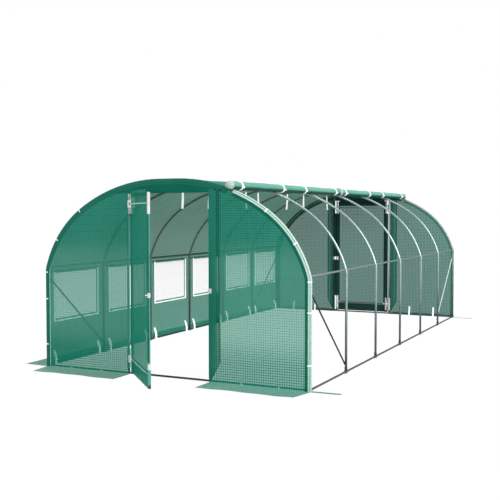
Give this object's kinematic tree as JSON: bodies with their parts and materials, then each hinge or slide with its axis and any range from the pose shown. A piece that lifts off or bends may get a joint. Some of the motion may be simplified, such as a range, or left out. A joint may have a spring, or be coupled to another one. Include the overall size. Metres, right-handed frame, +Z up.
{
  "type": "polytunnel greenhouse",
  "caption": "Walk-in polytunnel greenhouse of bent tube hoops under a translucent green cover, one side rolled up, hinged doors at both ends.",
  "frame": {"origin": "on the ground, in the middle of the box around the tunnel with its front door half open", "axes": "+Y along the tunnel from the front door to the rear one, +X towards the rolled-up side, +Z up"},
  "size_m": [3.57, 6.9532, 1.957],
  "materials": {
    "galvanised_tube": "satin",
    "black_plastic": "matte",
    "white_plastic": "satin",
    "woven_cover": "satin",
    "window_net": "matte",
    "white_webbing": "matte"
  },
  "bodies": {
    "tunnel": {"base_rails": "galvanised_tube", "diagonal_braces": "galvanised_tube", "eaves_purlins": "galvanised_tube", "foot_tees": "black_plastic", "front_base_bar": "galvanised_tube", "front_door_surround": "galvanised_tube", "front_panel_left": "woven_cover", "front_panel_right": "woven_cover", "front_panel_top": "woven_cover", "front_post_fittings": "white_plastic", "front_skirts": "woven_cover", "front_ties": "white_webbing", "hanging_straps": "white_webbing", "hoop_1": "galvanised_tube", "hoop_2": "galvanised_tube", "hoop_3": "galvanised_tube", "hoop_4": "galvanised_tube", "hoop_5": "galvanised_tube", "hoop_6": "galvanised_tube", "hoop_7": "galvanised_tube", "left_skirt": "woven_cover", "left_wall_cover": "woven_cover", "rear_base_bar": "galvanised_tube", "rear_door_surround": "galvanised_tube", "rear_panel_left": "woven_cover", "rear_panel_right": "woven_cover", "rear_panel_top": "woven_cover", "rear_post_fittings": "white_plastic", "rear_skirts": "woven_cover", "rear_ties": "white_webbing", "ridge_beam": "galvanised_tube", "right_hems": "woven_cover", "roll_ties": "white_webbing", "rolled_side_cover": "woven_cover", "roof_cover": "woven_cover", "wall_ties": "white_webbing", "window_flaps": "woven_cover", "window_nets": "window_net"},
    "front_door": {"front_door_frame": "galvanised_tube", "front_door_cover": "woven_cover", "front_door_sleeves": "white_plastic", "front_door_caps": "black_plastic"},
    "rear_door": {"rear_door_frame": "galvanised_tube", "rear_door_cover": "woven_cover", "rear_door_sleeves": "white_plastic", "rear_door_caps": "black_plastic"}
  },
  "joints": [
    {"name": "front_door_hinge", "type": "hinge", "parent": "tunnel", "child": "front_door", "pos_m": [-0.442, -2.85319, 0.9], "axis": [0, 0, -1], "range_deg": [-46, 124]},
    {"name": "rear_door_hinge", "type": "hinge", "parent": "tunnel", "child": "rear_door", "pos_m": [0.442, 3.20681, 0.9], "axis": [0, 0, -1], "range_deg": [0, 170]}
  ]
}
